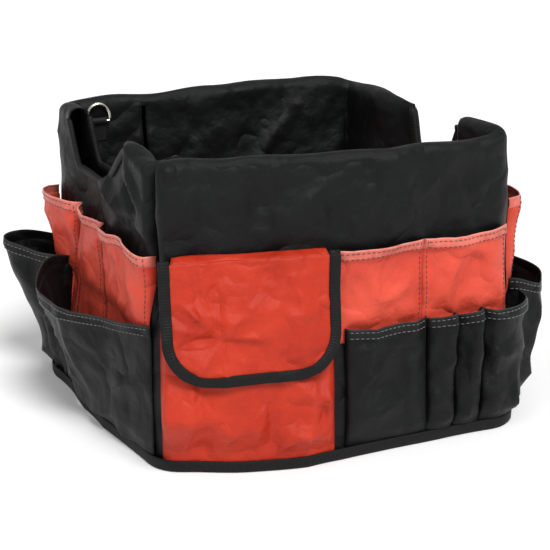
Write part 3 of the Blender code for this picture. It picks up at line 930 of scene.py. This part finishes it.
# Pockets sewn flat to the wall: kind, name, where each starts and ends, depth, and what differs.
# A fold is (u, v) at each end, its width and its depth, with u across the pocket and v up it.
POCKETS = (
    ("red", "front_upper_pocket_1", on_front(-0.004), on_front(0.0694), 0.0040,
     dict(low=0.092, power=0.9, folds=(
         (0.2, 0.45, 0.3, 1.0, 0.05, 0.0014),
         (0.75, 0.5, 0.7, 1.0, 0.06, -0.0012)))),
    ("red", "front_upper_pocket_2", on_front(0.0698), on_front(0.1440), 0.0046,
     dict(low=0.092, power=0.9, folds=(
         (0.18, 0.4, 0.12, 1.0, 0.04, 0.0016),
         (0.6, 0.5, 0.66, 1.0, 0.06, -0.0014)))),
    ("black", "front_lower_pocket_1", on_front(0.003), on_front(0.0722), 0.0075,
     dict(folds=((0.22, 0.2, 0.30, 0.95, 0.05, 0.0018), (0.7, 0.1, 0.62, 0.9, 0.06, -0.0018)))),
    ("black", "front_lower_pocket_2", on_front(0.0728), on_front(0.0962), 0.0125,
     dict(power=0.8, lean=0.9, dip=pleat, folds=(
         (0.95, 0.30, 0.30, 0.42, 0.09, -0.0050),
         (0.15, 0.50, 0.55, 1.0, 0.12, -0.0030),
         (0.75, 0.50, 0.80, 1.0, 0.10, 0.0030)))),
    ("black", "front_lower_pocket_3", on_front(0.0968), on_front(0.1200), 0.0135,
     dict(power=0.8, lean=0.8, dip=pleat, folds=(
         (0.95, 0.36, 0.30, 0.30, 0.09, -0.0048),
         (0.15, 0.45, 0.50, 1.0, 0.12, -0.0030),
         (0.30, 0.05, 0.55, 0.32, 0.10, 0.0030)))),
    ("black", "front_lower_pocket_4", on_front(0.1206), on_right(-0.094), 0.0120,
     dict(power=0.6, folds=(
         (0.22, 0.1, 0.16, 1.0, 0.06, 0.0030),
         (0.46, 0.05, 0.52, 0.55, 0.04, 0.0040),
         (0.60, 0.05, 0.60, 0.6, 0.04, -0.0034)))),
    ("red", "left_upper_pocket_1", on_left(0.010), on_left(-0.083), 0.0085,
     dict(folds=((0.3, 0.3, 0.35, 1.0, 0.05, 0.003), (0.62, 0.3, 0.60, 1.0, 0.04, -0.003)))),
    ("red", "left_upper_pocket_2", on_left(0.070), on_left(0.012), 0.0080,
     dict(folds=((0.45, 0.3, 0.5, 1.0, 0.06, 0.002),))),
    ("red", "left_upper_pocket_3", on_left(0.132), on_left(0.072), 0.0150, dict(lean=-0.4)),
    ("red", "right_upper_pocket_1", on_right(-0.102), on_right(-0.025), 0.0195,
     dict(lean=-0.8, power=0.42, fall=0.45, high=0.179)),
    ("red", "right_upper_pocket_2", on_right(-0.023), on_right(0.046), 0.0120, {}),
    ("red", "right_upper_pocket_3", on_right(0.048), on_right(0.112), 0.0130, {}),
    ("red", "back_upper_pocket_1", on_back(0.108), on_back(0.001), 0.0085,
     dict(folds=((0.3, 0.4, 0.36, 1.0, 0.05, 0.002), (0.7, 0.4, 0.66, 1.0, 0.05, -0.002)))),
    ("red", "back_upper_pocket_2", on_back(-0.001), on_back(-0.114), 0.0085,
     dict(folds=((0.25, 0.4, 0.2, 1.0, 0.05, -0.002), (0.6, 0.4, 0.66, 1.0, 0.05, 0.002)))),
    ("black", "back_lower_pocket_1", on_back(0.108), on_back(0.0365), 0.0105, {}),
    ("black", "back_lower_pocket_2", on_back(0.0350), on_back(-0.0365), 0.0115, {}),
    ("black", "back_lower_pocket_3", on_back(-0.0380), on_back(-0.112), 0.0105, {}),
)

# Pockets that gape: name, both ends, the mouth's points between them, the foot's, and what differs.
# An end is its arc length, its distance from the wall, the height that is measured at, and its own.
BELLOWS = (
    ("left_bellows_pocket_1",
     (on_left(0.0874), 0.0026, 0.112, 0.116), (on_left(-0.086), 0.004, 0.112, 0.113),
     ((-0.164, 0.080, 0.121), (-0.179, 0.066, 0.119), (-0.1895, 0.040, 0.108), (-0.179, 0.004, 0.105),
      (-0.160, -0.040, 0.107)),
     ((-0.154, 0.080, 0.008), (-0.157, 0.066, 0.008), (-0.1575, 0.040, 0.008), (-0.154, 0.004, 0.008),
      (-0.147, -0.040, 0.008)),
     dict(folds=(
         (0.52, 0.1, 0.50, 1.0, 0.045, 0.0035),
         (0.66, 0.1, 0.74, 0.95, 0.05, -0.0035),
         (0.30, 0.2, 0.34, 0.9, 0.05, -0.0030)))),
    ("left_bellows_pocket_2",
     (on_back(-0.116), 0.004, 0.112, 0.108), (on_left(0.0886), 0.0026, 0.112, 0.114),
     ((-0.142, 0.160, 0.114), (-0.170, 0.160, 0.121), (-0.1900, 0.142, 0.123), (-0.178, 0.118, 0.117),
      (-0.160, 0.100, 0.115)),
     ((-0.137, 0.147, 0.008), (-0.148, 0.146, 0.008), (-0.160, 0.136, 0.008), (-0.1585, 0.118, 0.008),
      (-0.156, 0.102, 0.008)),
     dict(folds=((0.45, 0.1, 0.47, 1.0, 0.045, 0.003), (0.7, 0.1, 0.72, 0.95, 0.05, -0.003)))),
    ("right_bellows_pocket_1",
     (on_right(-0.100), 0.004, 0.114, 0.115), (on_right(0.0054), 0.0026, 0.112, 0.113),
     ((0.168, -0.104, 0.114), (0.186, -0.100, 0.107), (0.198, -0.090, 0.104), (0.2035, -0.078, 0.110),
      (0.196, -0.052, 0.113), (0.176, -0.020, 0.114)),
     ((0.160, -0.104, 0.008), (0.171, -0.098, 0.008), (0.180, -0.088, 0.010), (0.180, -0.076, 0.010),
      (0.174, -0.052, 0.008), (0.163, -0.020, 0.008)),
     dict(power=0.42, folds=(
         (0.22, 0.1, 0.20, 0.95, 0.04, 0.004),
         (0.38, 0.25, 0.34, 0.95, 0.05, -0.005),
         (0.30, 0.40, 0.55, 0.36, 0.05, -0.005),
         (0.62, 0.2, 0.60, 0.95, 0.05, 0.003)))),
    ("right_bellows_pocket_2",
     (on_right(0.0066), 0.0026, 0.108, 0.108), (on_right(0.116), 0.004, 0.108, 0.108),
     ((0.164, 0.030, 0.110), (0.182, 0.060, 0.112), (0.172, 0.092, 0.110)),
     ((0.150, 0.030, 0.008), (0.154, 0.060, 0.008), (0.150, 0.092, 0.008)),
     dict(folds=((0.4, 0.1, 0.42, 0.95, 0.05, 0.003), (0.7, 0.2, 0.66, 0.95, 0.05, -0.003)))),
)


def build_pockets():
    lines = {"red": [], "black": []}
    sew = {"red": red_pocket, "black": black_pocket}
    for kind, name, start, end, depth, more in POCKETS:
        lines[kind] += sew[kind](name, start, end, depth, **more)
    for name, start, end, mouth, foot, more in BELLOWS:
        top = [(*wall_xy(s, out, at), z) for s, out, at, z in (start, end)]
        low = [(*wall_xy(s, 0.003, 0.008), 0.008) for s, *_ in (start, end)]
        lines["black"] += bellows(name, (top[0], *mouth, top[1]), (low[0], *foot, low[1]), **more)
    stitches("red_hem_stitching", lines["red"], THREAD_DARK, radius=0.00030)
    stitches("black_hem_stitching", lines["black"], THREAD_GREY, radius=0.00028)


def build_inner_pocket():
    """The pocket sewn to the back skirt, its face turned to the bucket."""
    low, high = 0.098, 0.166
    s0 = on_back(0.100)
    s1 = ahead(s0, on_back(-0.084))
    s = np.linspace(s0, s1, 56)
    rows = hem_rows(low, high, HEM, 0.004)
    Z = np.repeat(rows[:, None], len(s), axis=1)
    S = np.broadcast_to(s, Z.shape)
    U = (S - s0) / (s1 - s0)
    V = (Z - low) / (high - low)
    reach = 2 * ARCH + 0.0075 + 0.0065 * bow(U) * V**1.2 + 0.0007 * smooth((Z - (high - HEM)) / 0.001)
    P = wrap(S, -reach, Z)[:, ::-1]
    edge = np.clip((Z[:, ::-1] - (high - 0.0016)) / 0.0012, 0, 1) * 0.8
    made = cloth("inner_pocket_back_cloth", P, POCKET_CLOTH, RED, wear=edge)
    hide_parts("inner_pocket_back")


# ---------------------------------------------------------------- hem and slot tapes
HEM_TAPE_Z = 0.0046
HEM_TAPE_MIDDLE = 0.0048
TAPE_WIDTH = 0.0086


def build_hem():
    s = even(S_CREASE, S_CREASE + GIRTH, 0.004)[:-1]
    _, facing = ring_at(s)
    normal = np.concatenate([facing, np.full((len(s), 1), -0.10)], axis=1)
    normal /= np.linalg.norm(normal, axis=1)[:, None]
    up = np.tile(np.array([0, 0, 1.0]), (len(s), 1))
    face = wrap(s, 0.0036 + 0 * s, HEM_TAPE_Z + 0 * s)
    back = wrap(s, -0.0024 + 0 * s, HEM_TAPE_Z + 0 * s)
    for path in (face, back):
        path[:, 2] = HEM_TAPE_MIDDLE
    outer = tape("hem_binding", face, up, normal, TAPE_WIDTH, 0.0014, BINDING, closed=True)
    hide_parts("hem_binding_front", "hem_binding_left", "hem_binding_back", "hem_binding_right")
    turned = -normal[::-1]
    inner = tape("hem_binding_inside", back[::-1], up, turned, TAPE_WIDTH, 0.0012, BINDING, closed=True)


def build_slot_bindings():
    for name, slot, locate in (("left", LEFT_SLOT, on_left), ("right", RIGHT_SLOT, on_right)):
        first, last = sorted((locate(slot[0]), locate(slot[3])))
        s = np.linspace(first - 0.002, last + 0.002, 60)
        _, facing = ring_at(s)
        normal = np.concatenate([facing, np.zeros((len(s), 1))], axis=1)
        for which, share in (("outer", 0.0), ("inner", 1.0)):
            path = wrap(s, -2 * ARCH * gap(s) * share - 0.0007, wall_top(s) - 0.0022)
            run = np.gradient(path, axis=0)
            run /= np.linalg.norm(run, axis=1)[:, None]
            up = np.cross(normal, run)
            up *= np.sign(up[:, 2:3] + 1e-9)
            made = tape(f"slot_binding_{name}_{which}", path, up, normal, 0.0064, 0.0032, BINDING)
            if which == "outer":
                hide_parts(f"slot_binding_{name}")


# ---------------------------------------------------------------- pouch and flap
FLAP_TILT = math.radians(9)
HINGE_Z, HINGE_OUT = 0.1645, 0.0090
PATCH_DROP = 0.0715
FACET_A, FACET_B = Vector(PLAN[0][:2]), Vector(PLAN[1][:2])
ALONG = (FACET_B - FACET_A).normalized()
OUTWARD = Vector((ALONG.y, -ALONG.x))
MIDDLE = (FACET_A + FACET_B) / 2


def flap_matrix():
    hinge = MIDDLE + OUTWARD * HINGE_OUT
    x = Vector((ALONG.x, ALONG.y, 0))
    y = Vector((-OUTWARD.x, -OUTWARD.y, 0))
    turn = Matrix((x, y, Vector((0, 0, 1)))).transposed()
    lean = Matrix.Rotation(-FLAP_TILT, 3, "X")
    place = Vector((hinge.x + SHIFT[0], hinge.y + SHIFT[1], HINGE_Z))
    return Matrix.Translation(place) @ (turn @ lean).to_4x4()


FLAP = np.array(flap_matrix())
HALF, LENGTH, CORNER = 0.0665, 0.0920, 0.036


DENT = (-0.024, -0.056)
# The lid's folds all start at its dent: x and z of the far end, width, depth.
LID_FOLDS = (
    (-0.050, -0.030, 0.0042, 0.0022),
    (-0.040, -0.018, 0.0050, -0.0018),
    (-0.056, -0.062, 0.0040, -0.0020),
    (-0.044, -0.084, 0.0045, 0.0022),
    (-0.010, -0.082, 0.0055, -0.0018),
    (0.014, -0.058, 0.0055, 0.0020),
    (0.030, -0.086, 0.0060, -0.0014),
    (0.004, -0.030, 0.0050, 0.0014),
    (-0.026, -0.014, 0.0034, -0.0014),
    (-0.060, -0.046, 0.0034, 0.0012),
    (-0.020, -0.090, 0.0034, 0.0014),
    (0.022, -0.074, 0.0034, -0.0012),
)


def flap_bump(x, z):
    """How far the lid stands out of its plane, towards the viewer."""
    d = 0.0030 * np.cos(x / HALF * np.pi / 2) * np.sin(np.clip(-z / LENGTH, 0, 1) * np.pi)
    x0, z0 = DENT
    for x1, z1, w, deep in LID_FOLDS:
        d = d + crease(x, z, x0, z0, x1, z1, w * 0.9, deep * 2.4, 1.2)
    d = d - 0.0022 * np.exp(-(((x - x0) / 0.012) ** 2 + ((z - z0) / 0.012) ** 2))
    d = d + crease(x, z, -0.060, -0.012, 0.058, -0.010, 0.006, -0.0012, 1.6)
    d = d + crease(x, z, 0.010, -0.020, 0.052, -0.075, 0.009, 0.0018, 1.6)
    q = np.stack(np.broadcast_arrays(x, z, x * 0), axis=-1)
    d = d + 0.0018 * field(q, 0.030, 5.0) + 0.0018 * ridges(q, 0.038, 2.0)
    near = smooth((0.026 - np.abs(x)) / 0.008) * smooth((0.018 - np.abs(z + PATCH_DROP)) / 0.006)
    return d + (np.maximum(d, 0.0007) - d) * near


def flap_points(x, z, lift):
    local = np.stack([x, -(flap_bump(x, z) + lift), z, np.ones_like(x)], axis=-1)
    return (local @ FLAP.T)[..., :3]


def half_width(z, grow=0.0):
    low = LENGTH + grow
    radius = CORNER + grow
    t = np.clip((-z - (low - radius)) / radius, 0, 1)
    return HALF + grow - radius + radius * np.sqrt(np.clip(1 - t**2, 0, 1))


def flap_outline(inset):
    """The flap's edge, moved in by inset: down one side, across the bottom and up the other."""
    radius = CORNER - inset
    path = [(-HALF + inset, t) for t in np.linspace(0.0022, -(LENGTH - CORNER), 22)]
    centre = (-HALF + CORNER, -LENGTH + CORNER)
    for a in np.linspace(180, 270, 22)[1:]:
        a = math.radians(a)
        path.append((centre[0] + radius * math.cos(a), centre[1] + radius * math.sin(a)))
    path += [(t, -LENGTH + inset) for t in np.linspace(-HALF + CORNER, HALF - CORNER, 18)[1:]]
    for a in np.linspace(270, 360, 22)[1:]:
        a = math.radians(a)
        path.append((-centre[0] + radius * math.cos(a), centre[1] + radius * math.sin(a)))
    path += [(HALF - inset, t) for t in np.linspace(-(LENGTH - CORNER), 0.0022, 22)[1:]]
    return np.array(path).T


def build_flap():
    z = np.concatenate([np.linspace(-0.0912, -0.085, 9), np.linspace(-0.082, -0.0006, 56)])
    u = np.linspace(-1, 1, 72)
    Z = np.repeat(z[:, None], len(u), axis=1)
    X = u[None, :] * half_width(Z, -0.0008)
    P = flap_points(X, Z, 0.0005)
    # The lid uses the darker red copy, which is painted shade.
    lid = cloth("flap_lid_cloth", P, 0.0010, RED_PAINTED_SHADE, body="flap")
    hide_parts("flap_lid")

    x, z = flap_outline(0.0038)
    step = 0.001
    for name, lift, facing in (("flap_binding_face", 0.0011, 1), ("flap_binding_back", -0.0012, -1)):
        q = flap_points(x, z, lift)
        across = flap_points(x + step, z, lift) - flap_points(x - step, z, lift)
        along = flap_points(x, z + step, lift) - flap_points(x, z - step, lift)
        normal = np.cross(across, along)
        normal /= np.linalg.norm(normal, axis=1)[:, None]
        run = np.gradient(q, axis=0)
        run /= np.linalg.norm(run, axis=1)[:, None]
        side = np.cross(normal, run)
        made = tape(name, q, side, normal * facing, 0.0082, 0.0013, BINDING, body="flap")
        if facing == 1:
            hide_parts("flap_binding")

    s = np.linspace(S_FACET - 0.0555, S_FACET + 0.0575, 44)
    rows = np.linspace(0, 1, 8)
    top = wrap(s, 0.0008 + 0 * s, 0.1672 + 0 * s)
    edge_u = (s - s[0]) / (s[-1] - s[0]) * 2 - 1
    bottom = flap_points(edge_u * (HALF - 0.0082), -0.0004 + 0 * s, 0.0004)
    swell = np.array([OUTWARD.x, OUTWARD.y, 0]) * 0.0012
    P = np.array([bottom + (top - bottom) * t + swell * math.sin(math.pi * t) for t in rows])
    seam = cloth("flap_hinge_seam_cloth", P, 0.0009, RED_PAINTED_SHADE)
    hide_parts("flap_hinge_seam")


POUCH_LOW, POUCH_HIGH = 0.0052, 0.150
POUCH_PATCH_Z = 0.0939
# (u, v) at each end, width and depth, with u across the pouch and v up it.
POUCH_FOLDS = (
    (0.10, 0.0, 0.16, 0.55, 0.030, 0.0024),
    (0.24, 0.0, 0.22, 0.50, 0.030, -0.0022),
    (0.45, 0.0, 0.60, 0.40, 0.040, 0.0022),
    (0.62, 0.0, 0.58, 0.45, 0.030, -0.0020),
    (0.80, 0.0, 0.86, 0.42, 0.035, 0.0022),
    (0.93, 0.1, 0.90, 0.45, 0.025, -0.0020),
    (0.30, 0.12, 0.55, 0.20, 0.030, -0.0018),
)


def build_pouch():
    """The pocket under the flap: flat at its patch, baggy elsewhere, sewn to the wall at its sides."""
    s = np.linspace(S_FACET - 0.064, S_FACET + 0.063, 72)
    rows = np.linspace(POUCH_LOW, POUCH_HIGH, 46)
    Z = np.repeat(rows[:, None], len(s), axis=1)
    V = (Z - POUCH_LOW) / (POUCH_HIGH - POUCH_LOW)
    U = np.broadcast_to((s - s[0]) / (s[-1] - s[0]), Z.shape)
    S = np.broadcast_to(s, Z.shape)
    box = smooth(U / 0.05) * smooth((1 - U) / 0.045)
    under = HINGE_OUT + (HINGE_Z - Z) * math.tan(FLAP_TILT) - 0.0042
    plane = under - sway(S, Z)
    free = 0.0012 + 0.0098 * smooth((Z - 0.008) / 0.030)
    depth = np.where(Z > 0.070, 1.0, smooth((Z - 0.02) / 0.05))
    target = np.minimum(plane, 0.030) * depth + free * (1 - depth)
    out = CLOSEST + np.maximum(target, CLOSEST) * box
    q = np.stack([S, Z, 0 * Z], axis=-1)
    near = smooth((0.030 - np.abs(S - S_FACET)) / 0.009)
    near = near * smooth((0.022 - np.abs(Z - POUCH_PATCH_Z)) / 0.009)
    loose = box * smooth((Z - 0.010) / 0.012) * (1 - near)
    out = out - 0.0008 * near
    out = out + (0.0016 * field(q, 0.024, 6.0) + 0.0026 * ridges(q, 0.038, 17.0) + 0.0012) * loose
    for u0, v0, u1, v1, width, deep in POUCH_FOLDS:
        out = out + crease(U, V, u0, v0, u1, v1, width * 1.2, deep * 1.7, 1.3) * loose
    out = np.maximum(out, CLOSEST)
    P = wrap(S, out, Z)
    # The pouch uses the darker red copy, painted shade for the shade under the lid.
    pouch = cloth("flap_pouch_cloth", P, 0.0010, RED_PAINTED_SHADE)
    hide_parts("flap_pouch")
    for node in ("pouch_hook_patch", "flap_loop_patch"):
        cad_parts[node].data.materials.clear()
        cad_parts[node].data.materials.append(PILE)


# ---------------------------------------------------------------- ring, floor, light
def build_ring():
    for node, mat in (("d_ring", NICKEL), ("d_ring_tab", WEBBING)):
        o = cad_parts[node]
        for k in range(len(o.material_slots)):
            o.material_slots[k].material = mat


FLOOR_HALF = 40
SQUARE = ((-1, -1), (1, -1), (1, 1), (-1, 1))


def build_stage():
    mesh = bpy.data.meshes.new("floor")
    mesh.from_pydata([(x * FLOOR_HALF, y * FLOOR_HALF, 0) for x, y in SQUARE], [], [(0, 1, 2, 3)])
    floor = bpy.data.objects.new("floor", mesh)
    bpy.context.scene.collection.objects.link(floor)
    mat, _, shader = new_material("floor_paper")
    shader.inputs["Base Color"].default_value = (0.90, 0.90, 0.90, 1)
    shader.inputs["Roughness"].default_value = 0.9
    mesh.materials.append(mat)
    world = bpy.data.worlds.new("studio")
    bpy.context.scene.world = world
    world.use_nodes = True
    sky = world.node_tree.nodes["Background"]
    sky.inputs["Color"].default_value = (1, 1, 1, 1)
    sky.inputs["Strength"].default_value = 0.48
    bpy.context.scene.view_settings.view_transform = "Standard"
    for name, place, angle, power in (
        ("key", (0.10, -0.95, 1.45), 24, 2.8),
        ("fill", (-1.2, -0.5, 1.2), 40, 0.5),
    ):
        light = bpy.data.lights.new(name, "SUN")
        light.angle = math.radians(angle)
        light.energy = power
        lamp = bpy.data.objects.new(name, light)
        bpy.context.scene.collection.objects.link(lamp)
        lamp.location = place
        lamp.rotation_euler = (Vector((0, 0, 0.1)) - Vector(place)).to_track_quat("-Z", "Y").to_euler()
    cam = bpy.data.cameras.new("camera")
    cam.lens = 90
    cam.sensor_width = 36
    eye = bpy.data.objects.new("camera", cam)
    bpy.context.scene.collection.objects.link(eye)
    eye.location = (-0.417 + SHIFT[0], -0.982 + SHIFT[1], 0.474)
    eye.rotation_euler = (math.radians(71), 0, math.radians(-23))
    bpy.context.scene.camera = eye


build_shell()
build_pockets()
build_inner_pocket()
build_hem()
build_slot_bindings()
build_flap()
build_pouch()
build_ring()
build_stage()
